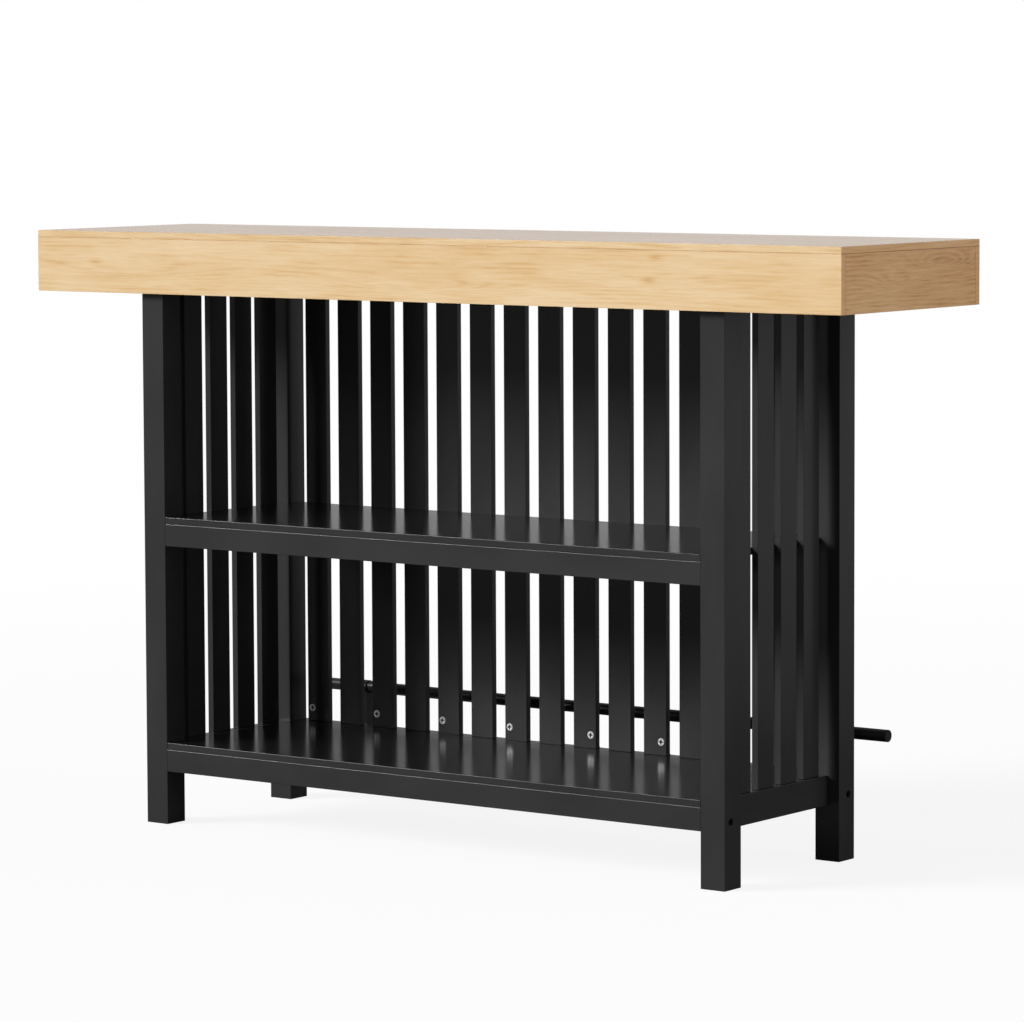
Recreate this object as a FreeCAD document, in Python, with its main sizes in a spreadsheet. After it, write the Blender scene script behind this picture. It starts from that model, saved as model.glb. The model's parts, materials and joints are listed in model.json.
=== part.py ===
import FreeCAD, Part
import os

# Bar table: an oak box top on a black frame with two shelves, a slatted back, slatted ends and a foot rail.
# Millimetres, +Z up, +X along the table to the right end, +Y from the open front to the foot rail.
# The origin lies on the floor in the middle of the whole table, foot rail included.

doc = FreeCAD.newDocument("BarTable")

# Driving dimensions
sizes = {
    # whole table
    "table_length": 1600,
    "table_depth": 400,
    "table_height": 990,
    "end_overhang": 218,
    # oak box top
    "top_thickness": 11,
    "apron_thickness": 12,
    "apron_drop": 102,
    "apron_clearance": 3,
    "corner_block": 30,
    # legs and rails
    "leg_width": 44.5,
    "rail_thickness": 34,
    "rail_height": 37,
    "end_rail_inset": 22,
    "floor_gap": 89,
    # shelves
    "shelf_thickness": 11.5,
    "shelf_clearance": 0.5,
    "mid_shelf_height": 516,
    "batten_height": 20,
    "cleat_width": 15,
    # slats
    "slat_width": 44.5,
    "slat_thickness": 11.5,
    "back_slat_inset": 9.5,
    "back_slat_margin": 21.3,
    "end_slat_inset": 25,
    # foot rail
    "foot_rail_height": 182.5,
    "foot_rail_reach": 115,
    "foot_rail_inset": 7,
    "foot_tube_width": 20,
    "foot_tube_wall": 1.5,
    "plug_flange": 1.5,
    "plug_depth": 12,
    "bracket_bar": 16,
    "bracket_plate_width": 40,
    "bracket_plate": 4,
    "collar_width": 14,
    "collar_wall": 1.5,
    # screws that tie every second back slat to the rear rail
    "slat_screw_rise": 22.5,
    "slat_screw_offset": 12.5,
    "slat_screw_width": 6,
    "slat_screw_head": 13,
    "slat_screw_rim": 0.4,
    "slat_screw_crown": 11.4,
    "slat_screw_dome": 0.6,
    "slat_screw_neck": 10.2,
    "slat_screw_neck_depth": 5,
    "cross_slot_width": 2.8,
    "cross_slot_length": 8,
    "cross_slot_depth": 2.6,
    "clip_width": 12,
    "clip_thickness": 2,
    "clip_height": 34,
    "clip_foot": 6.5,
    "nut_across_corners": 11.5,
    "nut_height": 3.5,
    # bolts and barrel nuts at the bottom rails
    "bolt_rise": 16,
    "bolt_width": 6,
    "bolt_head": 12,
    "bolt_head_height": 6,
    "bolt_socket": 6,
    "bolt_socket_depth": 3.5,
    "bolt_recess": 8,
    "bolt_reach": 22,
    "barrel_width": 10,
    "barrel_length": 24,
    "barrel_set_back": 15,
    # wood screws
    "wood_screw_width": 5,
    "wood_screw_head": 8,
    "wood_screw_head_height": 3,
    "bracket_screw_spread": 28,
    "bracket_screw_bite": 22,
    "top_screw_recess": 12,
    "top_screw_bite": 7,
    # dowels
    "dowel_width": 8,
    "dowel_wall": 3.5,
    "dowel_spread": 18,
    "slat_dowel_width": 6,
    "slat_dowel_length": 20,
    # fits
    "bore_clearance": 0.15,
    "bore_end_gap": 0.5,
}

BACK_SLATS = 15
END_SLATS = 4
# Slat pitches from the middle of the table to each top screw, half way between two slats
TOP_SCREW_PITCHES = 4.5
HEXAGON_SIDES = 6
SIDES = {"left": -1, "right": 1}
DEPTHS = {"front": -1, "rear": 1}

sheet = doc.addObject("Spreadsheet::Sheet", "Sizes")
for row, (name, size) in enumerate(sizes.items(), start=1):
    sheet.set(f"A{row}", name)
    sheet.set(f"B{row}", str(size))
    sheet.setAlias(f"B{row}", name)
doc.recompute()

# Each size as the text of its cell, for the expressions below
S = {name: f"Sizes.{name}" for name in sizes}


def half(text):
    return f"({text}) / 2"


def minus(first, *others):
    return f"({first})" + "".join(f" - ({other})" for other in others)


def plus(*texts):
    return " + ".join(f"({text})" for text in texts)


# Lengths that follow from the driving dimensions
base_length = minus(S["table_length"], f"2 * {S['end_overhang']}")
base_depth = minus(S["table_depth"], f"2 * ({S['apron_thickness']} + {S['apron_clearance']})")
between_legs = minus(base_length, f"2 * {S['leg_width']}")
between_leg_rows = minus(base_depth, f"2 * {S['leg_width']}")
under_top = minus(S["table_height"], S["top_thickness"])
top_rail_low = minus(under_top, S["rail_height"])
apron_height = minus(S["apron_drop"], S["top_thickness"])
deep_rail_height = plus(S["rail_height"], S["shelf_thickness"])
front_rail_top = plus(S["floor_gap"], S["rail_height"])
shelf_top = plus(front_rail_top, S["shelf_thickness"])
mid_rail_top = minus(S["mid_shelf_height"], S["shelf_thickness"])
mid_rail_low = minus(mid_rail_top, S["rail_height"])
end_rail_thickness = minus(S["leg_width"], S["end_rail_inset"])
slat_height = minus(top_rail_low, shelf_top)
tube_radius = half(S["foot_tube_width"])
collar_radius = plus(tube_radius, S["bore_clearance"], S["collar_wall"])

# Places, with Y counted from the middle of the whole table
rear_reach = plus(half(base_depth), S["foot_rail_reach"], collar_radius)
base_y = half(minus(half(S["table_depth"]), rear_reach))
leg_x = half(minus(base_length, S["leg_width"]))
leg_y = half(minus(base_depth, S["leg_width"]))
rail_y = half(minus(base_depth, S["rail_thickness"]))
end_rail_x = minus(half(base_length), S["end_rail_inset"], half(end_rail_thickness))
back_slat_y = minus(half(base_depth), S["back_slat_inset"], half(S["slat_thickness"]))
slat_front_y = minus(back_slat_y, half(S["slat_thickness"]))
slat_rear_y = plus(back_slat_y, half(S["slat_thickness"]))
end_slat_x = minus(half(base_length), S["end_slat_inset"], half(S["slat_thickness"]))
end_slat_inner_x = minus(end_slat_x, half(S["slat_thickness"]))
back_slat_run = minus(between_legs, f"2 * {S['back_slat_margin']}", S["slat_width"])
back_pitch = f"({back_slat_run}) / {BACK_SLATS - 1}"
end_slat_run = minus(between_leg_rows, f"{END_SLATS} * {S['slat_width']}")
end_pitch = plus(f"({end_slat_run}) / {END_SLATS + 1}", S["slat_width"])
foot_rail_y = plus(half(base_depth), S["foot_rail_reach"])
bracket_x = f"{(BACK_SLATS - 1) / 2} * {back_pitch}"
bracket_z = plus(S["floor_gap"], half(S["rail_height"]))
bolt_z = plus(S["floor_gap"], S["bolt_rise"])
slat_screw_z = plus(shelf_top, S["slat_screw_rise"])


def signed(sign, text):
    return f"{sign} * ({text})"


def from_base(text):
    return plus(base_y, text)


# The ways a round piece or a hole can point
TURNS = {
    "+x": FreeCAD.Rotation(FreeCAD.Vector(0, 1, 0), 90),
    "-x": FreeCAD.Rotation(FreeCAD.Vector(0, 1, 0), -90),
    "+y": FreeCAD.Rotation(FreeCAD.Vector(1, 0, 0), -90),
    "-y": FreeCAD.Rotation(FreeCAD.Vector(1, 0, 0), 90),
    "+z": FreeCAD.Rotation(),
    "-z": FreeCAD.Rotation(FreeCAD.Vector(1, 0, 0), 180),
}


def outward(letter, sign):
    return ("+" if sign > 0 else "-") + letter


def inward(letter, sign):
    return outward(letter, -sign)


def place(item, corner):
    for letter, text in zip("xyz", corner):
        item.setExpression(f"Placement.Base.{letter}", text)


def board(name, size, middle, low):
    # A box from its three sizes, the middle of its plan and the height of its underside
    item = doc.addObject("Part::Box", name)
    for side, text in zip(("Length", "Width", "Height"), size):
        item.setExpression(side, text)
    place(item, (minus(middle[0], half(size[0])), minus(middle[1], half(size[1])), low))
    return item


def rod(name, way, start, radius, length):
    # A cylinder that starts at a point and runs one way
    item = doc.addObject("Part::Cylinder", name)
    item.Placement = FreeCAD.Placement(FreeCAD.Vector(), TURNS[way])
    item.setExpression("Radius", radius)
    item.setExpression("Height", length)
    place(item, start)
    return item


def cone(name, way, start, radius, end_radius, length):
    item = doc.addObject("Part::Cone", name)
    item.Placement = FreeCAD.Placement(FreeCAD.Vector(), TURNS[way])
    item.setExpression("Radius1", radius)
    item.setExpression("Radius2", end_radius)
    item.setExpression("Height", length)
    place(item, start)
    return item


def prism(name, way, start, corner_radius, length):
    item = doc.addObject("Part::Prism", name)
    item.Polygon = HEXAGON_SIDES
    item.Placement = FreeCAD.Placement(FreeCAD.Vector(), TURNS[way])
    item.setExpression("Circumradius", corner_radius)
    item.setExpression("Height", length)
    place(item, start)
    return item


def joined(name, items):
    item = doc.addObject("Part::MultiFuse", name)
    item.Shapes = items
    return item


def without(name, base, tools):
    item = doc.addObject("Part::Cut", name)
    item.Base = base
    item.Tool = tools[0] if len(tools) == 1 else joined(f"{name}_cuts", tools)
    return item


def group(name, items):
    item = doc.addObject("Part::Compound", name)
    item.Links = items
    return item


nodes = []


def node(item, label):
    item.Label = label
    nodes.append(item)


def bore(name, way, start, width, depth):
    # A hole for something of this width, with the fit's clearance
    return rod(name, way, start, plus(half(width), S["bore_clearance"]), depth)


# Dowels between rails and legs, half in each; a wall of wood stays between the ones that cross in a leg
frame_dowels = []
dowel_reach = minus(S["leg_width"], half(S["rail_thickness"]), half(S["dowel_width"]), S["dowel_wall"])
dowel_depth = plus(dowel_reach, S["bore_end_gap"])


def dowel_joint(name, letter, sign, face, z):
    # The dowel stands across the face where a rail end meets a leg; returns the leg's and the rail's holes
    along = dict(zip("xyz", (*face, z)))
    start = dict(along)
    start[letter] = minus(along[letter], signed(sign, dowel_reach))
    where = (along["x"], along["y"], along["z"])
    out = outward(letter, sign)
    back = inward(letter, sign)
    first = (start["x"], start["y"], start["z"])
    frame_dowels.append(rod(f"{name}_dowel", out, first, half(S["dowel_width"]), f"2 * ({dowel_reach})"))
    in_leg = bore(f"{name}_leg_bore", out, where, S["dowel_width"], dowel_depth)
    in_rail = bore(f"{name}_rail_bore", back, where, S["dowel_width"], dowel_depth)
    return in_leg, in_rail


# Holes that each leg and each rail collects from its joints, by piece
holes = {}


def add_hole(piece, hole):
    holes.setdefault(piece, []).append(hole)


def dowel_pair(rail, leg, letter, sign, face, z_middle, spread):
    for step in spread:
        z = plus(z_middle, f"{step} * {half(S['dowel_spread'])}")
        in_leg, in_rail = dowel_joint(f"{rail}_{leg}_{step + 1}", letter, sign, face, z)
        add_hole(leg, in_leg)
        add_hole(rail, in_rail)


# Rails along the table: row, underside and height
long_rails = {
    "bottom_front_rail": (-1, S["floor_gap"], S["rail_height"]),
    "bottom_rear_rail": (1, S["floor_gap"], deep_rail_height),
    "mid_front_rail": (-1, mid_rail_low, S["rail_height"]),
    "top_front_rail": (-1, top_rail_low, S["rail_height"]),
    "top_rear_rail": (1, top_rail_low, S["rail_height"]),
}
end_rails = {
    "bottom": (S["floor_gap"], deep_rail_height),
    "top": (top_rail_low, S["rail_height"]),
}
row_names = {sign: name for name, sign in DEPTHS.items()}

bolts = []
barrel_nuts = []
bolt_shank = plus(minus(S["leg_width"], S["bolt_recess"]), S["bolt_reach"])


def bolt_joint(rail, leg, side, row):
    # A bolt from a recess in the leg's outer face into a barrel nut in the rail
    face_x = signed(side, half(base_length))
    seat_x = signed(side, minus(half(base_length), S["bolt_recess"]))
    nut_x = signed(side, minus(half(between_legs), S["barrel_set_back"]))
    y_text = from_base(signed(row, rail_y))
    nut_y = plus(y_text, signed(row, half(S["barrel_length"])))
    way = inward("x", side)
    tag = f"{rail}_{leg}"
    add_hole(leg, bore(f"{tag}_recess", way, (face_x, y_text, bolt_z), S["bolt_head"], S["bolt_recess"]))
    add_hole(leg, bore(f"{tag}_leg_bore", way, (seat_x, y_text, bolt_z), S["bolt_width"], S["leg_width"]))
    end_x = signed(side, half(between_legs))
    deep = plus(S["bolt_reach"], S["bore_end_gap"])
    add_hole(rail, bore(f"{tag}_rail_bore", way, (end_x, y_text, bolt_z), S["bolt_width"], deep))
    pocket = plus(half(S["rail_thickness"]), half(S["barrel_length"]))
    pocket_y = minus(y_text, signed(row, half(S["rail_thickness"])))
    pocket_start = (nut_x, pocket_y, bolt_z)
    add_hole(rail, bore(f"{tag}_pocket", outward("y", row), pocket_start, S["barrel_width"], pocket))
    shank = rod(f"{tag}_shank", way, (seat_x, y_text, bolt_z), half(S["bolt_width"]), bolt_shank)
    out = outward("x", side)
    head = rod(f"{tag}_head", out, (seat_x, y_text, bolt_z), half(S["bolt_head"]), S["bolt_head_height"])
    socket_x = signed(side, plus(minus(half(base_length), S["bolt_recess"]), S["bolt_head_height"]))
    socket_start = (socket_x, y_text, bolt_z)
    socket = prism(f"{tag}_socket", way, socket_start, half(S["bolt_socket"]), S["bolt_socket_depth"])
    bolts.append(without(f"{tag}_bolt", joined(f"{tag}_bolt_body", [shank, head]), [socket]))
    start = (nut_x, nut_y, bolt_z)
    barrel = rod(f"{tag}_barrel", inward("y", row), start, half(S["barrel_width"]), S["barrel_length"])
    thread = bore(f"{tag}_thread", way, (end_x, y_text, bolt_z), S["bolt_width"], half(base_length))
    barrel_nuts.append(without(f"{tag}_barrel_nut", barrel, [thread]))


# Joints between the long rails and the legs
for rail, (row, low, height) in long_rails.items():
    for side_name, side in SIDES.items():
        leg = f"{row_names[row]}_{side_name}_leg"
        y_text = from_base(signed(row, rail_y))
        face = (signed(side, half(between_legs)), y_text)
        if rail.startswith("bottom"):
            bolt_joint(rail, leg, side, row)
        else:
            dowel_pair(rail, leg, "x", side, face, plus(low, half(height)), (-1, 1))

# Joints between the end rails and the legs
for level, (low, height) in end_rails.items():
    for side_name, side in SIDES.items():
        rail = f"{level}_{side_name}_rail"
        for row_name, row in DEPTHS.items():
            leg = f"{row_name}_{side_name}_leg"
            face = (signed(side, end_rail_x), from_base(signed(row, half(between_leg_rows))))
            dowel_pair(rail, leg, "y", row, face, plus(low, half(height)), (-1, 1))

# The batten under the rear of the mid shelf has one dowel in each end
batten_depth = minus(slat_front_y, half(between_leg_rows))
batten_y = from_base(plus(half(between_leg_rows), half(batten_depth)))
batten_low = minus(mid_rail_top, S["batten_height"])
for side_name, side in SIDES.items():
    face = (signed(side, half(between_legs)), batten_y)
    z = plus(batten_low, half(S["batten_height"]))
    dowel_pair("mid_rear_batten", f"rear_{side_name}_leg", "x", side, face, z, (0,))


# Slats, with a dowel in each end
slat_dowels = []
slat_bore_depth = plus(half(S["slat_dowel_length"]), S["bore_end_gap"])


def slat(name, size, middle, foot_rail, head_rail):
    body = board(f"{name}_board", size, middle, shelf_top)
    for end, rail, z, way in (("foot", foot_rail, shelf_top, "+z"), ("head", head_rail, top_rail_low, "-z")):
        away = "-z" if way == "+z" else "+z"
        face = (*middle, z)
        add_hole(name, bore(f"{name}_{end}_bore", way, face, S["slat_dowel_width"], slat_bore_depth))
        add_hole(rail, bore(f"{name}_{end}_rail_bore", away, face, S["slat_dowel_width"], slat_bore_depth))
        start = (*middle, minus(z, half(S["slat_dowel_length"])))
        radius = half(S["slat_dowel_width"])
        slat_dowels.append(rod(f"{name}_{end}_dowel", "+z", start, radius, S["slat_dowel_length"]))
    return body


slat_boards = {}
back_slat_x = {}
for number in range(BACK_SLATS):
    name = f"back_slat_{number + 1:02d}"
    step = number - (BACK_SLATS - 1) / 2
    back_slat_x[name] = f"{step} * {back_pitch}"
    middle = (back_slat_x[name], from_base(back_slat_y))
    size = (S["slat_width"], S["slat_thickness"], slat_height)
    slat_boards[name] = slat(name, size, middle, "bottom_rear_rail", "top_rear_rail")
for side_name, side in SIDES.items():
    for number in range(END_SLATS):
        name = f"{side_name}_slat_{number + 1}"
        step = number - (END_SLATS - 1) / 2
        middle = (signed(side, end_slat_x), from_base(f"{step} * ({end_pitch})"))
        size = (S["slat_thickness"], S["slat_width"], slat_height)
        slat_boards[name] = slat(name, size, middle, f"bottom_{side_name}_rail", f"top_{side_name}_rail")

# Cross-head screws, clips and nuts that tie every second back slat to the rear rail
slat_screws = []
slat_clips = []
slat_nuts = []
for number in range(0, BACK_SLATS, 2):
    name = f"back_slat_{number + 1:02d}"
    side = -1 if number < BACK_SLATS / 2 else 1
    x = plus(back_slat_x[name], signed(side, S["slat_screw_offset"]))
    front = (x, from_base(slat_front_y), slat_screw_z)
    rear = (x, from_base(slat_rear_y), slat_screw_z)
    nut_start = (x, from_base(plus(slat_rear_y, S["clip_thickness"])), slat_screw_z)
    through = plus(S["slat_thickness"], S["clip_thickness"], S["nut_height"])
    add_hole(name, bore(f"{name}_screw_bore", "+y", front, S["slat_screw_width"], S["slat_thickness"]))
    neck_radius = half(S["slat_screw_neck"])
    shank_radius = half(S["slat_screw_width"])
    add_hole(name, cone(f"{name}_screw_sink", "+y", front, plus(neck_radius, S["bore_clearance"]),
                        plus(shank_radius, S["bore_clearance"]), S["slat_screw_neck_depth"]))
    shank = rod(f"{name}_screw_shank", "+y", front, shank_radius, through)
    neck = cone(f"{name}_screw_neck", "+y", front, neck_radius, shank_radius, S["slat_screw_neck_depth"])
    rim = rod(f"{name}_screw_rim", "-y", front, half(S["slat_screw_head"]), S["slat_screw_rim"])
    dome_y = from_base(minus(slat_front_y, S["slat_screw_rim"]))
    dome = cone(f"{name}_screw_dome", "-y", (x, dome_y, slat_screw_z), half(S["slat_screw_head"]),
                half(S["slat_screw_crown"]), S["slat_screw_dome"])
    slot_y = plus(minus(dome_y, S["slat_screw_dome"]), half(S["cross_slot_depth"]))
    slots = []
    for way, wide, tall in (("flat", "cross_slot_length", "cross_slot_width"),
                            ("upright", "cross_slot_width", "cross_slot_length")):
        size = (S[wide], S["cross_slot_depth"], S[tall])
        low = minus(slat_screw_z, half(S[tall]))
        slots.append(board(f"{name}_{way}_slot", size, (x, slot_y), low))
    screw_body = joined(f"{name}_screw_body", [shank, neck, rim, dome])
    slat_screws.append(without(f"{name}_screw", screw_body, slots))
    plate_y = from_base(plus(slat_rear_y, half(S["clip_thickness"])))
    plate = board(f"{name}_clip_plate", (S["clip_width"], S["clip_thickness"], S["clip_height"]),
                  (x, plate_y), shelf_top)
    foot_y = from_base(plus(slat_rear_y, half(S["clip_foot"])))
    foot_size = (S["clip_width"], S["clip_foot"], S["clip_thickness"])
    foot = board(f"{name}_clip_foot", foot_size, (x, foot_y), shelf_top)
    clip_bore = bore(f"{name}_clip_bore", "+y", rear, S["slat_screw_width"], S["clip_thickness"])
    slat_clips.append(without(f"{name}_clip", joined(f"{name}_clip_body", [plate, foot]), [clip_bore]))
    hexagon = prism(f"{name}_nut_body", "+y", nut_start, half(S["nut_across_corners"]), S["nut_height"])
    nut_bore = bore(f"{name}_nut_bore", "+y", nut_start, S["slat_screw_width"], S["nut_height"])
    slat_nuts.append(without(f"{name}_nut", hexagon, [nut_bore]))

# Foot rail brackets: a plate on the rear rail, a bent bar and a collar that the tube passes through
foot_brackets = {}
bracket_screws = []
plate_face_y = from_base(plus(half(base_depth), S["bracket_plate"]))
arm_length = minus(plus(S["foot_rail_reach"], half(S["bracket_bar"])), S["bracket_plate"])
foot_axis_y = from_base(foot_rail_y)
for side_name, side in SIDES.items():
    name = f"{side_name}_foot_bracket"
    x = signed(side, bracket_x)
    plate_y = from_base(plus(half(base_depth), half(S["bracket_plate"])))
    plate = board(f"{name}_plate", (S["bracket_plate_width"], S["bracket_plate"], S["rail_height"]),
                  (x, plate_y), S["floor_gap"])
    arm_low = minus(bracket_z, half(S["bracket_bar"]))
    arm = board(f"{name}_arm", (S["bracket_bar"], arm_length, S["bracket_bar"]),
                (x, plus(plate_face_y, half(arm_length))), arm_low)
    upright_size = (S["bracket_bar"], S["bracket_bar"], minus(S["foot_rail_height"], arm_low))
    upright = board(f"{name}_upright", upright_size, (x, foot_axis_y), arm_low)
    collar_start = (minus(x, half(S["collar_width"])), foot_axis_y, S["foot_rail_height"])
    collar = rod(f"{name}_collar", "+x", collar_start, collar_radius, S["collar_width"])
    eye_start = (minus(x, S["bracket_plate_width"]), foot_axis_y, S["foot_rail_height"])
    cuts = [bore(f"{name}_eye", "+x", eye_start, S["foot_tube_width"], f"2 * {S['bracket_plate_width']}")]
    for number, step in enumerate((-1, 1), start=1):
        start = (plus(x, f"{step} * {half(S['bracket_screw_spread'])}"), plate_face_y, bracket_z)
        tag = f"{name}_screw_{number}"
        grip = plus(S["bracket_plate"], S["bracket_screw_bite"])
        deep = plus(grip, S["bore_end_gap"])
        cuts.append(bore(f"{tag}_hole", "-y", start, S["wood_screw_width"], S["bracket_plate"]))
        add_hole("bottom_rear_rail", bore(f"{tag}_rail_bore", "-y", start, S["wood_screw_width"], deep))
        shank = rod(f"{tag}_shank", "-y", start, half(S["wood_screw_width"]), grip)
        head = cone(f"{tag}_head", "+y", start, half(S["wood_screw_head"]), half(S["wood_screw_width"]),
                    S["wood_screw_head_height"])
        bracket_screws.append(joined(tag, [shank, head]))
    foot_brackets[name] = without(name, joined(f"{name}_body", [plate, arm, upright, collar]), cuts)

# Foot rail tube and its end plugs, which stop a little inside the outer faces of the legs
tube_length = minus(base_length, f"2 * ({S['foot_rail_inset']} + {S['plug_flange']})")
tube_inner = minus(tube_radius, S["foot_tube_wall"])
tube_start = (signed(-1, half(tube_length)), foot_axis_y, S["foot_rail_height"])
tube_outside = rod("foot_tube_outside", "+x", tube_start, tube_radius, tube_length)
tube_inside = rod("foot_tube_inside", "+x", tube_start, tube_inner, tube_length)
foot_tube = without("foot_tube_wall_ring", tube_outside, [tube_inside])
end_plugs = []
for side_name, side in SIDES.items():
    face = (signed(side, half(tube_length)), foot_axis_y, S["foot_rail_height"])
    flange = rod(f"{side_name}_plug_flange", outward("x", side), face, tube_radius, S["plug_flange"])
    spigot_radius = minus(tube_inner, S["bore_clearance"])
    spigot = rod(f"{side_name}_plug_spigot", inward("x", side), face, spigot_radius, S["plug_depth"])
    end_plugs.append(joined(f"{side_name}_plug", [flange, spigot]))

# Screws up through the top rails into the oak panel, each in a gap between two back slats
top_screws = []
top_screw_length = plus(minus(S["rail_height"], S["top_screw_recess"]), S["top_screw_bite"])
for row_name, row in DEPTHS.items():
    for side_name, side in SIDES.items():
        x = f"{side * TOP_SCREW_PITCHES} * {back_pitch}"
        y_text = from_base(signed(row, rail_y))
        rail = f"top_{row_name}_rail"
        tag = f"{rail}_{side_name}_screw"
        under = (x, y_text, top_rail_low)
        seat = (x, y_text, plus(top_rail_low, S["top_screw_recess"]))
        add_hole(rail, bore(f"{tag}_recess", "+z", under, S["wood_screw_head"], S["top_screw_recess"]))
        add_hole(rail, bore(f"{tag}_rail_bore", "+z", seat, S["wood_screw_width"], S["rail_height"]))
        bite = plus(S["top_screw_bite"], S["bore_end_gap"])
        into = (x, y_text, under_top)
        add_hole("top_panel", bore(f"{tag}_panel_bore", "+z", into, S["wood_screw_width"], bite))
        shank = rod(f"{tag}_shank", "+z", seat, half(S["wood_screw_width"]), top_screw_length)
        head = rod(f"{tag}_head", "-z", seat, half(S["wood_screw_head"]), S["wood_screw_head_height"])
        top_screws.append(joined(tag, [shank, head]))

# Oak box top: the panel over four aprons, the end aprons between the long ones
top_middle = ("0", base_y)
boards = {
    "top_panel": board("top_panel_board", (S["table_length"], S["table_depth"], S["top_thickness"]),
                       top_middle, under_top),
}
apron_low = minus(S["table_height"], S["apron_drop"])
apron_y = half(minus(S["table_depth"], S["apron_thickness"]))
end_apron_x = half(minus(S["table_length"], S["apron_thickness"]))
between_aprons = minus(S["table_depth"], f"2 * {S['apron_thickness']}")
for row_name, row in DEPTHS.items():
    size = (S["table_length"], S["apron_thickness"], apron_height)
    middle = ("0", from_base(signed(row, apron_y)))
    boards[f"{row_name}_apron"] = board(f"{row_name}_apron_board", size, middle, apron_low)
for side_name, side in SIDES.items():
    size = (S["apron_thickness"], between_aprons, apron_height)
    middle = (signed(side, end_apron_x), base_y)
    boards[f"{side_name}_end_apron"] = board(f"{side_name}_end_apron_board", size, middle, apron_low)
block_x = half(minus(S["table_length"], f"2 * {S['apron_thickness']}", S["corner_block"]))
block_y = half(minus(between_aprons, S["corner_block"]))
corner_blocks = []
for side in SIDES.values():
    for row in DEPTHS.values():
        size = (S["corner_block"], S["corner_block"], apron_height)
        middle = (signed(side, block_x), from_base(signed(row, block_y)))
        corner_blocks.append(board(f"corner_block_{len(corner_blocks) + 1}", size, middle, apron_low))

# Legs and rails
for row_name, row in DEPTHS.items():
    for side_name, side in SIDES.items():
        size = (S["leg_width"], S["leg_width"], under_top)
        middle = (signed(side, leg_x), from_base(signed(row, leg_y)))
        boards[f"{row_name}_{side_name}_leg"] = board(f"{row_name}_{side_name}_leg_post", size, middle, "0")
for rail, (row, low, height) in long_rails.items():
    size = (between_legs, S["rail_thickness"], height)
    middle = ("0", from_base(signed(row, rail_y)))
    boards[rail] = board(f"{rail}_board", size, middle, low)
for level, (low, height) in end_rails.items():
    for side_name, side in SIDES.items():
        rail = f"{level}_{side_name}_rail"
        size = (end_rail_thickness, between_leg_rows, height)
        boards[rail] = board(f"{rail}_board", size, (signed(side, end_rail_x), base_y), low)
batten_size = (between_legs, batten_depth, S["batten_height"])
boards["mid_rear_batten"] = board("mid_rear_batten_board", batten_size, ("0", batten_y), batten_low)
boards.update(slat_boards)

# Bottom shelf: it lies on the front rail and on cleats, between the legs, the end rails and the rear rail
rear_rail_front = minus(half(base_depth), S["rail_thickness"])
shelf_length = minus(between_legs, f"2 * {S['shelf_clearance']}")
shelf_depth = minus(plus(half(base_depth), rear_rail_front), S["shelf_clearance"])
shelf_y = from_base(minus(half(shelf_depth), half(base_depth)))
boards["bottom_shelf"] = board("bottom_shelf_board", (shelf_length, shelf_depth, S["shelf_thickness"]),
                               ("0", shelf_y), front_rail_top)
cleat_low = minus(front_rail_top, S["cleat_width"])
rear_cleat_y = from_base(minus(rear_rail_front, half(S["cleat_width"])))
end_cleat_x = minus(half(between_legs), half(S["cleat_width"]))
shelf_cleats = [board("rear_cleat", (minus(between_legs, f"2 * {S['cleat_width']}"), S["cleat_width"],
                                     S["cleat_width"]), ("0", rear_cleat_y), cleat_low)]
for side_name, side in SIDES.items():
    size = (S["cleat_width"], between_leg_rows, S["cleat_width"])
    shelf_cleats.append(board(f"{side_name}_cleat", size, (signed(side, end_cleat_x), base_y), cleat_low))

# Mid shelf: it reaches the slats and is notched around the legs
mid_length = minus(f"2 * ({end_slat_inner_x})", f"2 * {S['shelf_clearance']}")
mid_depth = minus(plus(half(base_depth), slat_front_y), S["shelf_clearance"])
mid_y = from_base(minus(half(mid_depth), half(base_depth)))
mid_size = (mid_length, mid_depth, S["shelf_thickness"])
boards["mid_shelf"] = board("mid_shelf_board", mid_size, ("0", mid_y), mid_rail_top)
notch = plus(S["leg_width"], f"2 * {S['shelf_clearance']}")
for row_name, row in DEPTHS.items():
    for side_name, side in SIDES.items():
        middle = (signed(side, leg_x), from_base(signed(row, leg_y)))
        size = (notch, notch, S["shelf_thickness"])
        add_hole("mid_shelf", board(f"mid_shelf_{row_name}_{side_name}_notch", size, middle, mid_rail_top))

# Every board with its holes is one piece; identical fasteners share one piece of separate solids
for label, body in boards.items():
    node(without(f"{label}_drilled", body, holes[label]) if label in holes else body, label)
for label, bracket in foot_brackets.items():
    node(bracket, label)
node(foot_tube, "foot_rail_tube")
groups = {
    "foot_rail_plugs": end_plugs,
    "bracket_screws": bracket_screws,
    "corner_blocks": corner_blocks,
    "shelf_cleats": shelf_cleats,
    "slat_screws": slat_screws,
    "slat_clips": slat_clips,
    "slat_nuts": slat_nuts,
    "frame_bolts": bolts,
    "barrel_nuts": barrel_nuts,
    "frame_dowels": frame_dowels,
    "slat_dowels": slat_dowels,
    "top_screws": top_screws,
}
for label, items in groups.items():
    node(group(f"{label}_set", items), label)

doc.recompute()

# Nothing is written unless every object is sound
for item in doc.Objects:
    if "Invalid" in item.State or "Error" in item.State:
        raise RuntimeError(f"{item.Label}: {item.State}")
for item in nodes:
    if item.Shape.isNull() or not item.Shape.isValid():
        raise RuntimeError(f"{item.Label}: shape is not valid")

os.makedirs("parts", exist_ok=True)
for item in nodes:
    item.Shape.exportStep(f"parts/{item.Label}.step")
    print(item.Label, len(item.Shape.Solids), round(item.Shape.Volume))
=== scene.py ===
import json
import math

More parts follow.
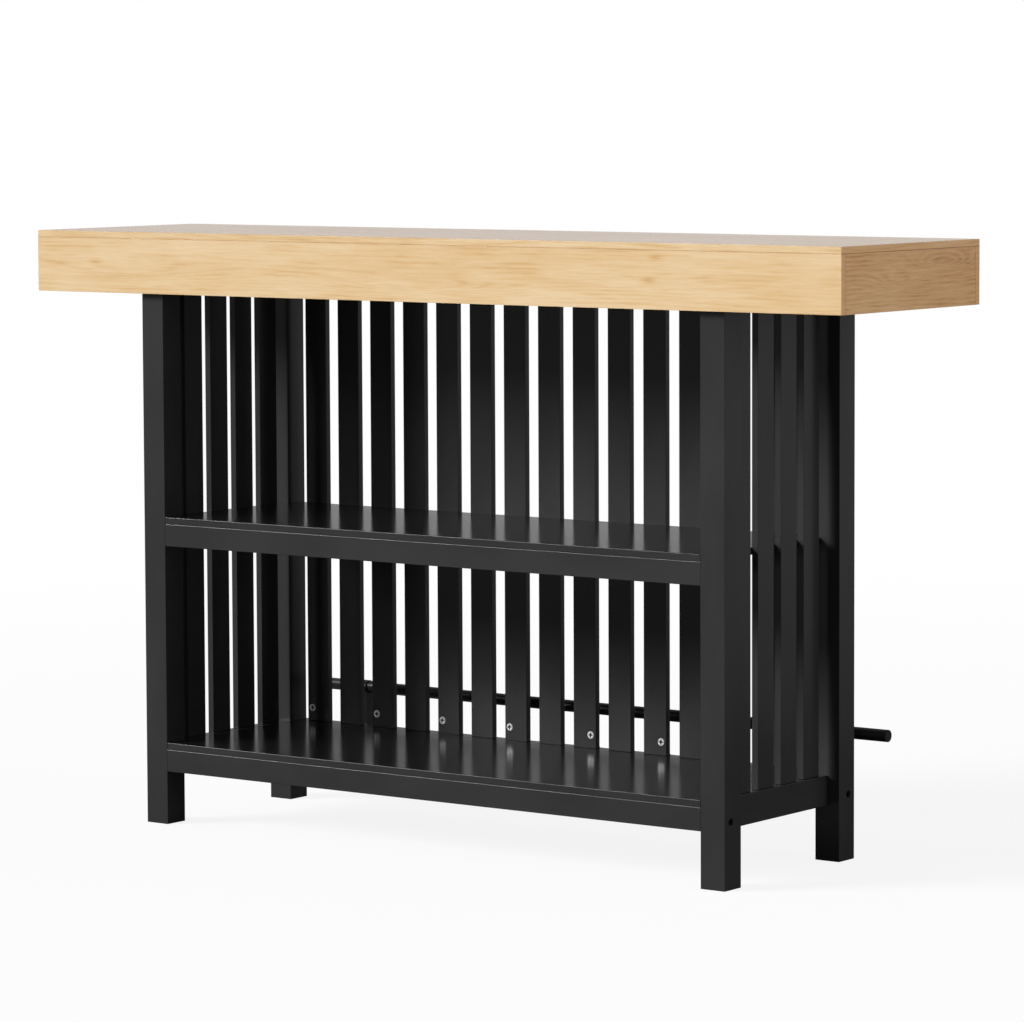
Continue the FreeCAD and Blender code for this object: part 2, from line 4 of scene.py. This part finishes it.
import bpy
from mathutils import Euler, Matrix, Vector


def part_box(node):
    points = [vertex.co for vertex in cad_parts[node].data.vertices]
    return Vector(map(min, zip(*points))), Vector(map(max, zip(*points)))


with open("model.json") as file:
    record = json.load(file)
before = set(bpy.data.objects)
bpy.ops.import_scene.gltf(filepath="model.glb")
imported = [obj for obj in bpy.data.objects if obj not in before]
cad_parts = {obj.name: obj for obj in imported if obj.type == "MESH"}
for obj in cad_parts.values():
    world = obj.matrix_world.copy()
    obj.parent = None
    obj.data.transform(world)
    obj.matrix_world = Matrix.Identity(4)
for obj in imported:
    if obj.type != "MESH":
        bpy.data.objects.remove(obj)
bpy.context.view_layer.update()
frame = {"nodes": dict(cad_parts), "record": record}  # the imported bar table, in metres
tableNodes = frame["nodes"]
scene = bpy.context.scene
scene.view_settings.view_transform = "Standard"
print("loaded", len(tableNodes), "pieces of the bar table")


class Val:
    # one socket of a finish, so that sums can be written as sums

    def __init__(self, finish, socket):
        self.finish = finish
        self.socket = socket

    def math(self, operation, *others):
        return self.finish.sum(operation, self, *others)

    def out(self, name):
        return Val(self.finish, self.socket.node.outputs[name])

    def swing(self, amount):
        # a noise runs round 0.5, this runs round 0
        return (self - 0.5) * amount

    def __add__(self, other):
        return self.math("ADD", other)

    def __sub__(self, other):
        return self.math("SUBTRACT", other)

    def __mul__(self, other):
        return self.math("MULTIPLY", other)

    def __truediv__(self, other):
        return self.math("DIVIDE", other)

    def __pow__(self, other):
        return self.math("POWER", other)

    def __rsub__(self, other):
        return self.finish.sum("SUBTRACT", other, self)

    def __rtruediv__(self, other):
        return self.finish.sum("DIVIDE", other, self)

    def __rpow__(self, other):
        return self.finish.sum("POWER", other, self)

    __radd__ = __add__
    __rmul__ = __mul__


mixSockets = {"VECTOR": (4, 5, 1), "RGBA": (6, 7, 2)}  # a Mix node's two inputs and its output
facingEdge = (0.45, 0.55)
softEdge = (0.3, 0.7)  # between these a noise passes softly from one colour to the next


class Finish:
    # a material or the world, with one way to add any node

    def __init__(self, owner):
        owner.use_nodes = True
        self.owner = owner
        self.tree = owner.node_tree
        self.tree.nodes.clear()

    def node(self, kind, settings=None, links=None, out=0):
        made = self.tree.nodes.new(kind)
        for key, value in (settings or {}).items():
            if key == "stops":
                self.fillRamp(made.color_ramp, value)
            else:
                setattr(made, key, value)
        for key, value in (links or {}).items():
            if isinstance(value, Val):
                self.tree.links.new(value.socket, made.inputs[key])
            else:
                made.inputs[key].default_value = value
        return Val(self, made.outputs[out]) if made.outputs else None

    def fillRamp(self, ramp, stops):
        while len(ramp.elements) < len(stops):
            ramp.elements.new(0.5)
        for element, (place, colour) in zip(ramp.elements, stops):
            element.position = place
            element.color = (*colour, 1)

    def sum(self, operation, *terms):
        return self.node("ShaderNodeMath", {"operation": operation}, dict(enumerate(terms)))

    def place(self):
        return self.node("ShaderNodeTexCoord", None, None, "Object")

    def axes(self, vector):
        # the parts of a vector, for out("X"), out("Y") and out("Z")
        return self.node("ShaderNodeSeparateXYZ", None, {0: vector})

    def noise(self, place, stretch, detail, roughness=0.5):
        # stretch: how fine the noise is along each axis of the place
        fine = self.node("ShaderNodeVectorMath", {"operation": "MULTIPLY"}, {0: place, 1: stretch})
        links = {"Vector": fine, "Scale": 1, "Detail": detail, "Roughness": roughness}
        return self.node("ShaderNodeTexNoise", None, links)

    def ease(self, value, low, high, first=0, last=1):
        # smooth step from first to last while the value goes from low to high
        settings = {"interpolation_type": "SMOOTHSTEP"}
        return self.node("ShaderNodeMapRange", settings, {0: value, 1: low, 2: high, 3: first, 4: last})

    def mix(self, kind, factor, first, second):
        firstIn, secondIn, out = mixSockets[kind]
        links = {0: factor, firstIn: first, secondIn: second}
        return self.node("ShaderNodeMix", {"data_type": kind}, links, out)

    def blend(self, factor, *colours):
        # a colour is three numbers or comes from another node
        first, second = ((*colour, 1) if isinstance(colour, tuple) else colour for colour in colours)
        return self.mix("RGBA", factor, first, second)

    def facing(self, letter, sign=None):
        # 1 on the faces that look along an axis, either way or one way
        axis = self.axes(self.node("ShaderNodeNewGeometry", None, None, "Normal")).out(letter)
        return self.ease(axis * sign if sign else axis.math("ABSOLUTE"), *facingEdge)

    def relief(self, height, depth, strength):
        return self.node("ShaderNodeBump", None, {"Height": height, "Distance": depth, "Strength": strength})

    def close(self, shader, target="ShaderNodeOutputMaterial"):
        self.node(target, None, {"Surface": shader})
        return self.owner


def newFinish(name):
    return Finish(bpy.data.materials.new(name))


def boardPlace(finish, grain):
    # the place as along, across and through the board
    axes = finish.axes(finish.place())
    along, across, through = (axes.out(letter) for letter in grain)
    return finish.node("ShaderNodeCombineXYZ", None, {0: along, 1: across, 2: through})


# Oak boards: flame figure as the level lines of a wandering slope, with fibres, pores and a few small eyes
oak = {
    "endGrain": "YZX",  # the ends are covered with oak that runs across the table
    "broad": ((1.7, 11, 11), 2),  # each noise: how fine along, across and through, its detail and roughness
    "flow": ((10, 80, 80), 3),
    "patch": ((7, 34, 34), 2),
    "streak": ((14, 260, 260), 3, 0.6),
    "fibre": ((30, 900, 900), 3, 0.65),
    "pores": ((120, 1900, 1900), 1),
    "lineGap": 0.0074,
    "tilt": 0.7,  # how fast the slope goes on through the board
    "wander": 0.034,
    "ripple": 0.0060,
    "linePower": 2,
    "linePatches": (0.35, 0.65, 0.1, 1),  # where the lines fade and break off
    "lineStreaks": (0.3, 0.7, 0.3, 1),
    "lineMean": 0.2,
    "poreEdge": (0.60, 0.72),
    "poresBetween": 0.35,  # how much the pores show between the lines
    "ground": 0.27,  # plain oak, and what each part of the figure adds to it
    "broadShade": 0.60,
    "patchShade": 0.45,
    "streakShade": 0.62,
    "fibreShade": 0.55,
    "poreShade": 0.14,
    "eyeStretch": 2.8,
    "eyeStreaks": (0.3, 0.65, 0.05, 0.55),
    "seamReach": 0.0011,  # the joints between the boards show as thin dark lines; under the panel the line is painted shade
    "panelSeamShade": 1,
    "uprightSeam": 0.5,
    "roughness": 0.17,
    "fibreRough": 0.08,
    "poreRough": 0.15,
    "lacquer": 0.35,
    "lacquerRoughness": 0.12,
    "fibreHeight": 0.5,
    "lineHeight": 0.3,
    "poreDepth": 0.00010,
    "reliefStrength": 0.3,
}
oakTones = {
    "pale": ((0.870, 0.660, 0.408), (0.790, 0.546, 0.285), (0.700, 0.422, 0.182), (0.500, 0.262, 0.098)),
    "level": ((0.800, 0.587, 0.408), (0.727, 0.486, 0.285), (0.644, 0.376, 0.182), (0.460, 0.233, 0.098)),
    "shadedTan": ((0.990, 0.617, 0.297), (0.890, 0.479, 0.188), (0.710, 0.341, 0.119), (0.470, 0.208, 0.065)),
    "fair": ((0.800, 0.560, 0.320), (0.720, 0.455, 0.218), (0.610, 0.345, 0.140), (0.430, 0.210, 0.075)),
}
toneStops = (0.0, 0.35, 0.7, 1.0)
# painted shade and sheen: the +X ends take a warmer, more orange tan for their shade, the -X ends where the
# main lamp falls a plainer tone, and the level faces a greyer copy for the sheen on the top
faceTones = (("level", "Z", None), ("shadedTan", "X", 1), ("fair", "X", -1))  # faces with a tone of their own, as painted shade and sheen
# each flame: its middle along and across, half length, half height and the number of lines round it
# each eye: its middle along and across, and its size
oakBoards = {
    "top_panel": {"grain": "XYZ", "tone": "pale", "figure": 1.1, "lines": 0.36,
                  "flames": ((-0.25, -0.11, 0.30, 0.050, 7), (0.42, 0.03, 0.26, 0.040, 6)), "eyes": ()},
    "front_apron": {"grain": "XZY", "tone": "pale", "figure": 0.92, "lines": 0.26,
                    "flames": ((0.02, 0.914, 0.17, 0.017, 4.5), (0.44, 0.936, 0.12, 0.011, 2.5),
                               (-0.62, 0.925, 0.15, 0.016, 3)),
                    "eyes": ((0.465, 0.967, 0.0045), (0.452, 0.932, 0.0050), (-0.672, 0.939, 0.0050))},
    "rear_apron": {"grain": "XZY", "tone": "pale", "figure": 0.92, "lines": 0.26,
                   "flames": ((-0.30, 0.930, 0.18, 0.018, 4.5), (0.48, 0.940, 0.14, 0.014, 3)),
                   "eyes": ((-0.42, 0.945, 0.0045),)},
    "left_end_apron": {"grain": "YZX", "tone": "shadedTan", "figure": 1.9, "lines": -0.26,
                       "flames": ((-0.03, 0.930, 0.08, 0.020, 5),), "eyes": ()},
    "right_end_apron": {"grain": "YZX", "tone": "shadedTan", "figure": 1.9, "lines": -0.26,
                        "flames": ((0.03, 0.956, 0.090, 0.016, 5), (-0.10, 0.936, 0.060, 0.012, 3)),
                        "eyes": ((-0.071, 0.938, 0.0030),)},
}


def softHill(along, across, middle, halfLength, halfHeight):
    # one hill on the board, 1 at its top
    far = ((along - middle[0]) / halfLength) ** 2 + ((across - middle[1]) / halfHeight) ** 2
    return (far * -1).math("EXPONENT")


def oakJointLinesAndShade(finish, atEnd):
    # painted shade along the seam under the panel all round, and dark lines along the two upright seams on each
    # end of the box top
    axes = finish.axes(finish.place())
    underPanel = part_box("top_panel")[0][2]
    endLow, endHigh = (corner[1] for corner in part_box("right_end_apron"))
    above = axes.out("Z") - underPanel
    level = finish.ease(above.math("ABSOLUTE"), 0, oak["seamReach"], oak["panelSeamShade"], 0)
    fromFront = (axes.out("Y") - endLow).math("ABSOLUTE")
    fromRear = (axes.out("Y") - endHigh).math("ABSOLUTE")
    upright = finish.ease(fromFront.math("MINIMUM", fromRear), 0, oak["seamReach"], oak["uprightSeam"], 0)
    return level * (1 - finish.facing("Z")) + upright * atEnd * above.math("LESS_THAN", 0)


def oakTone(finish, tone, dark):
    return finish.node("ShaderNodeValToRGB", {"stops": list(zip(toneStops, oakTones[tone]))}, {0: dark})


def oakFinish(board, details):
    finish = newFinish("oak_" + board)
    atEnd = finish.facing("X")
    onBoard, onEnd = (boardPlace(finish, grain) for grain in (details["grain"], oak["endGrain"]))
    place = finish.mix("VECTOR", atEnd, onBoard, onEnd)
    axes = finish.axes(place)
    along, across, through = (axes.out(letter) for letter in "XYZ")
    noises = ("broad", "flow", "patch", "streak", "fibre", "pores")
    broad, flow, patch, streak, fibre, pores = (finish.noise(place, *oak[noise]) for noise in noises)
    slope = across + through * oak["tilt"] + broad.swing(oak["wander"]) + flow.swing(oak["ripple"])
    for middleAlong, middleAcross, halfLength, halfHeight, count in details["flames"]:
        hill = softHill(along, across, (middleAlong, middleAcross), halfLength, halfHeight)
        slope = slope + hill * (count * oak["lineGap"])
    wave = (slope * (2 * math.pi / oak["lineGap"])).math("COSINE") * 0.5 + 0.5
    faded = finish.ease(patch, *oak["linePatches"]) * finish.ease(streak, *oak["lineStreaks"])
    line = wave ** oak["linePower"] * faded
    between = oak["poresBetween"]
    poreMask = finish.ease(pores, *oak["poreEdge"]) * (between + line * (1 - between))
    shade = broad.swing(oak["broadShade"]) + patch.swing(oak["patchShade"])
    thread = streak.swing(oak["streakShade"]) + fibre.swing(oak["fibreShade"]) + poreMask * oak["poreShade"]
    lines = (line - oak["lineMean"]) * details["lines"]
    dark = oak["ground"] + (lines + shade + thread) * details["figure"]
    for middleAlong, middleAcross, size in details["eyes"]:
        eye = softHill(along, across, (middleAlong, middleAcross), size * oak["eyeStretch"], size)
        dark = dark + eye * finish.ease(streak, *oak["eyeStreaks"])
    # painted shade along the seam under the panel, and dark lines along the upright seams
    dark = dark + oakJointLinesAndShade(finish, atEnd)
    colour = oakTone(finish, details["tone"], dark)
    # painted shade and sheen: the ends and the level faces take tones of their own
    for tone, letter, sign in faceTones:
        colour = finish.blend(finish.facing(letter, sign), colour, oakTone(finish, tone, dark))
    height = fibre * oak["fibreHeight"] - poreMask - line * oak["lineHeight"]
    shader = finish.node("ShaderNodeBsdfPrincipled", None, {
        "Base Color": colour,
        "Roughness": oak["roughness"] + fibre * oak["fibreRough"] + poreMask * oak["poreRough"],
        "Coat Weight": oak["lacquer"],
        "Coat Roughness": oak["lacquerRoughness"],
        "Normal": finish.relief(height, oak["poreDepth"], oak["reliefStrength"]),
    })
    return finish.close(shader)


# Black paint over wood: a satin coat that still shows some of the grain below
# the slats have a painted contact shadow at the foot; the shelves are deep black on top, and so is the top of
# the bottom rear rail, as painted shade beside the slats
blackPaint = {
    "grain": {"upright": "ZXY", "long": "XYZ", "across": "YXZ", "shelf": "XYZ", "slat": "ZXY"},
    "cloud": ((4, 9, 9), 3),
    "veins": ((9, 420, 420), 3, 0.6),
    "peel": ((700, 700, 700), 1),
    "deep": (0.0285, 0.0285, 0.0289),
    "worn": (0.0365, 0.0365, 0.0369),
    "shelfDeep": (0.0055, 0.0055, 0.0056),
    "shelfWorn": (0.0080, 0.0080, 0.0082),
    "footShadow": (0.002, 0.002, 0.002),  # painted contact shadow where a slat stands on its rail
    "footShadowReach": 0.0024,
    "roughness": 0.20,
    "shelfRoughness": 0.175,
    "cloudRough": 0.06,
    "veinsRough": 0.05,
    "gloss": 0.3,
    "shelfGloss": 0.24,
    "grainDepth": 0.00012,
    "peelDepth": 0.00004,
    "reliefStrength": 0.5,
}


def paintedFinish(way):
    finish = newFinish("black_paint_" + way)
    place = boardPlace(finish, blackPaint["grain"][way])
    cloud, veins, peel = (finish.noise(place, *blackPaint[noise]) for noise in ("cloud", "veins", "peel"))
    patch = finish.ease(cloud, *softEdge)
    colour = finish.blend(patch, blackPaint["deep"], blackPaint["worn"])
    roughness, gloss = blackPaint["roughness"], blackPaint["gloss"]
    if way == "shelf":
        roughness, gloss = blackPaint["shelfRoughness"], blackPaint["shelfGloss"]
        # deep black on the level faces: the shelves' own colour, and painted shade on the top of the bottom
        # rear rail
        flat = finish.blend(patch, blackPaint["shelfDeep"], blackPaint["shelfWorn"])
        colour = finish.blend(finish.facing("Z"), colour, flat)
    if way == "slat":
        # painted contact shadow: the paint darkens just above the foot of each slat
        above = finish.axes(finish.place()).out("Z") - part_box("back_slat_01")[0][2]
        atFoot = finish.ease(above, 0, blackPaint["footShadowReach"], 1, 0)
        colour = finish.blend(atFoot, colour, blackPaint["footShadow"])
    height = veins * blackPaint["grainDepth"] + peel * blackPaint["peelDepth"]
    shader = finish.node("ShaderNodeBsdfPrincipled", None, {
        "Base Color": colour,
        "Roughness": roughness + cloud.swing(blackPaint["cloudRough"]) + veins.swing(blackPaint["veinsRough"]),
        "Specular IOR Level": gloss,
        "Normal": finish.relief(height, 1, blackPaint["reliefStrength"]),
    })
    return finish.close(shader)


# Metal and plastic pieces; the slat screws have painted shade in the recesses of their heads
smallFinishes = {
    "black_steel": {"deep": (0.008, 0.008, 0.008), "light": (0.013, 0.013, 0.013), "metallic": 0,
                    "roughness": 0.3, "gloss": 0.3, "grainSize": 1800, "depth": 0.00005},
    "black_plastic": {"deep": (0.010, 0.010, 0.010), "light": (0.015, 0.015, 0.015), "metallic": 0,
                      "roughness": 0.45, "gloss": 0.3, "grainSize": 2600, "depth": 0.00004},
    "zinc_steel": {"deep": (0.66, 0.66, 0.66), "light": (0.80, 0.80, 0.79), "metallic": 1,
                   "roughness": 0.40, "gloss": 0.5, "grainSize": 900, "depth": 0.00002},
    "dark_steel": {"deep": (0.016, 0.016, 0.017), "light": (0.026, 0.026, 0.027), "metallic": 1,
                   "roughness": 0.4, "gloss": 0.5, "grainSize": 1500, "depth": 0.00003},
}
smallGrain = {"grainDetail": 2, "grainRough": 0.06, "stainSize": 60, "stainDetail": 3, "stainRough": 0.12,
              "reliefStrength": 0.6}
screwRecess = {"start": 0.0010, "end": 0.0013, "recessShade": (0.09, 0.09, 0.09)}  # depth behind the face of the head, and the painted shade in the recess


def smallFinish(name, details, recess=False):
    finish = newFinish(name + "_finish")
    place = finish.place()
    grain = finish.noise(place, (details["grainSize"],) * 3, smallGrain["grainDetail"])
    stain = finish.noise(place, (smallGrain["stainSize"],) * 3, smallGrain["stainDetail"])
    colour = finish.blend(finish.ease(stain, *softEdge), details["deep"], details["light"])
    if recess:
        # painted shade: the zinc darkens inside the cross recess of the screw heads
        behind = finish.axes(place).out("Y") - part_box("slat_screws")[0][1]
        inside = finish.ease(behind, screwRecess["start"], screwRecess["end"])
        colour = finish.blend(inside, colour, screwRecess["recessShade"])
    uneven = stain.swing(smallGrain["stainRough"]) + grain.swing(smallGrain["grainRough"])
    shader = finish.node("ShaderNodeBsdfPrincipled", None, {
        "Base Color": colour,
        "Metallic": details["metallic"],
        "Roughness": details["roughness"] + uneven,
        "Specular IOR Level": details["gloss"],
        "Normal": finish.relief(grain, details["depth"], smallGrain["reliefStrength"]),
    })
    return finish.close(shader)


# Plain wood inside
sawnWood = {"grain": "ZXY", "fibre": ((20, 500, 500), 3, 0.6), "pale": (0.72, 0.55, 0.36),
            "dark": (0.52, 0.36, 0.20), "roughness": 0.62, "fibreRough": 0.15, "depth": 0.0002,
            "reliefStrength": 0.5}


def sawnFinish():
    finish = newFinish("sawn_wood")
    fibre = finish.noise(boardPlace(finish, sawnWood["grain"]), *sawnWood["fibre"])
    shader = finish.node("ShaderNodeBsdfPrincipled", None, {
        "Base Color": finish.blend(finish.ease(fibre, *softEdge), sawnWood["pale"], sawnWood["dark"]),
        "Roughness": sawnWood["roughness"] + fibre.swing(sawnWood["fibreRough"]),
        "Normal": finish.relief(fibre, sawnWood["depth"], sawnWood["reliefStrength"]),
    })
    return finish.close(shader)


# Every piece keeps its CAD shape; its sharp corners are eased and it gets its finish
easedCorners = {
    "top_panel": {"radius": 0.0006, "steps": 3},
    "oak": {"radius": 0.0003, "steps": 2},
    "rails": {"radius": 0.0009, "steps": 3},
    "black_paint": {"radius": 0.0006, "steps": 3},
    "raw_wood": {"radius": 0.0005, "steps": 1},
    "black_steel": {"radius": 0.0005, "steps": 2},
    "black_plastic": {"radius": 0.0006, "steps": 2},
    "zinc_steel": {"radius": 0.0002, "steps": 2},
    "dark_steel": {"radius": 0.0003, "steps": 2},
}
cornerAngle = math.radians(40)
flatAngle = math.radians(0.5)
weldReach = 0.00001


def easeCorners(piece, radius, steps):
    weld = piece.modifiers.new("weld", "WELD")
    weld.merge_threshold = weldReach
    flat = piece.modifiers.new("flat", "DECIMATE")
    flat.decimate_type = "DISSOLVE"
    flat.angle_limit = flatAngle
    eased = piece.modifiers.new("eased", "BEVEL")
    eased.width = radius
    eased.segments = steps
    eased.limit_method = "ANGLE"
    eased.angle_limit = cornerAngle
    eased.use_clamp_overlap = False
    eased.harden_normals = True


slotOf = {entry["node"]: entry["material_slot"] for entry in frame["record"]["subparts"]}
paints = {way: paintedFinish(way) for way in blackPaint["grain"]}
smallParts = {slot: smallFinish(slot, details) for slot, details in smallFinishes.items()}
screwHeads = smallFinish("slat_screw", smallFinishes["zinc_steel"], True)
sawn = sawnFinish()


def paintWay(name):
    if "slat" in name:
        return "slat"
    if "_leg" in name:
        return "upright"
    if name in ("bottom_left_rail", "bottom_right_rail", "top_left_rail", "top_right_rail"):
        return "across"
    # the bottom rear rail takes the shelves' deep black on its top as painted shade beside the feet of the
    # slats
    return "shelf" if name in ("bottom_shelf", "mid_shelf", "bottom_rear_rail") else "long"


for name, piece in tableNodes.items():
    slot = slotOf[name]
    if slot == "oak":
        look = oakFinish(name, oakBoards[name])
    elif slot == "black_paint":
        look = paints[paintWay(name)]
    elif slot == "raw_wood":
        look = sawn
    elif name == "slat_screws":
        look = screwHeads
    else:
        look = smallParts[slot]
    piece.material_slots[0].material = look
    corner = "rails" if slot == "black_paint" and paintWay(name) not in ("slat", "upright") else slot
    easeCorners(piece, **easedCorners.get(name, easedCorners[corner]))
print("finished", len(tableNodes), "pieces")

# Pale floor: white to the camera, with a soft shadow of the table that fades out with distance
floorLook = {"size": 80, "pale": (0.95, 0.95, 0.95), "grey": (0.18, 0.18, 0.18), "whiteShare": 0.88,
             "fade": (1.5, 5), "gloss": 0.16}


def backdropRays(finish):
    # rays that look straight at the backdrop, and rays that see it in a gloss
    path = finish.node("ShaderNodeLightPath", None, None, "Is Camera Ray")
    return path + path.out("Is Transmission Ray"), path.out("Is Glossy Ray")


def layFloor():
    finish = newFinish("pale_floor")
    straight, gloss = backdropRays(finish)
    distance = finish.node("ShaderNodeVectorMath", {"operation": "LENGTH"}, {0: finish.place()}, "Value")
    far = finish.ease(distance, *floorLook["fade"])
    white = floorLook["whiteShare"] + far * (1 - floorLook["whiteShare"])
    colour = finish.blend(straight, floorLook["grey"], floorLook["pale"])
    lit = finish.node("ShaderNodeBsdfDiffuse", None, {"Color": colour})
    glow = finish.node("ShaderNodeEmission", None, {"Color": (1, 1, 1, 1), "Strength": 1})
    share = straight * white + gloss * far * floorLook["gloss"]
    shader = finish.node("ShaderNodeMixShader", None, {0: share, 1: lit, 2: glow})
    half = floorLook["size"] / 2
    corners = [(-half, -half, 0), (half, -half, 0), (half, half, 0), (-half, half, 0)]
    mesh = bpy.data.meshes.new("floor")
    mesh.from_pydata(corners, [], [(0, 1, 2, 3)])
    mesh.materials.append(finish.close(shader))
    floor = bpy.data.objects.new("floor", mesh)
    scene.collection.objects.link(floor)


# Soft room light: dim in front of the table, with the pale backdrop behind it
roomLight = {"front": 0.19, "behind": 0.25, "low": 0.90, "lowEdge": (0.02, 0.12), "turn": 0.5, "gloss": 0.06}


def lightRoom():
    world = bpy.data.worlds.new("room")
    scene.world = world
    finish = Finish(world)
    axes = finish.axes(finish.node("ShaderNodeTexCoord", None, None, "Generated"))
    behind = finish.ease(axes.out("Y"), -roomLight["turn"], roomLight["turn"])
    backdrop = finish.ease(axes.out("Z"), *roomLight["lowEdge"], roomLight["low"], roomLight["behind"])
    room = roomLight["front"] + behind * (backdrop - roomLight["front"])
    straight, gloss = backdropRays(finish)
    strength = room + (1 - room) * (straight + gloss * behind * roomLight["gloss"])
    back = finish.node("ShaderNodeBackground", None, {"Color": (1, 1, 1, 1), "Strength": strength})
    finish.close(back, "ShaderNodeOutputWorld")


# Big soft lamps far off: the main one in front on the left, its twin for the top panel alone, and a weaker
# one on the right; the twin has no glare, which would turn the wide panel white from behind
mainLamp = {"turn": -45, "height": 25, "spread": 22, "strength": 4.1}
softLamps = {
    "main_lamp": {**mainLamp, "glare": True, "panel": "EXCLUDE"},
    "panel_lamp": {**mainLamp, "glare": False, "panel": "INCLUDE"},
    "side_lamp": {"turn": 102, "height": 12, "spread": 50, "strength": 0.97, "glare": False, "panel": None},
}


def hangLamp(name, turn, height, spread, strength, glare, panel):
    lamp = bpy.data.lights.new(name, "SUN")
    lamp.angle = math.radians(spread)
    lamp.energy = strength
    stand = bpy.data.objects.new(name, lamp)
    stand.visible_glossy = glare
    if panel:
        lit = bpy.data.collections.new(name + "_lit")
        lit.objects.link(tableNodes["top_panel"])
        lit.collection_objects[0].light_linking.link_state = panel
        stand.light_linking.receiver_collection = lit
    scene.collection.objects.link(stand)
    stand.rotation_euler = (math.radians(90 - height), 0, math.radians(turn))


# Camera at the photograph's angle: a long lens from the front right, a little above the top
photoView = {"place": (4.4242, -5.9903, 1.2315), "turn": 36.426, "tilt": -4.568, "roll": -0.2385,
             "lens": 160.656, "sensor": 36, "shift": -0.06}


def setCamera():
    data = bpy.data.cameras.new("photo_view")
    data.sensor_width = photoView["sensor"]
    data.lens = photoView["lens"]
    data.shift_y = photoView["shift"]
    camera = bpy.data.objects.new("photo_view", data)
    scene.collection.objects.link(camera)
    pitch = math.radians(90 + photoView["tilt"])
    aim = Euler((pitch, 0, math.radians(photoView["turn"]))).to_matrix().to_4x4()
    roll = Matrix.Rotation(math.radians(photoView["roll"]), 4, "Z")
    camera.matrix_world = Matrix.Translation(photoView["place"]) @ aim @ roll
    scene.camera = camera


layFloor()
lightRoom()
for lampName, lampDetails in softLamps.items():
    hangLamp(lampName, **lampDetails)
setCamera()
print("floor, light and camera are set")
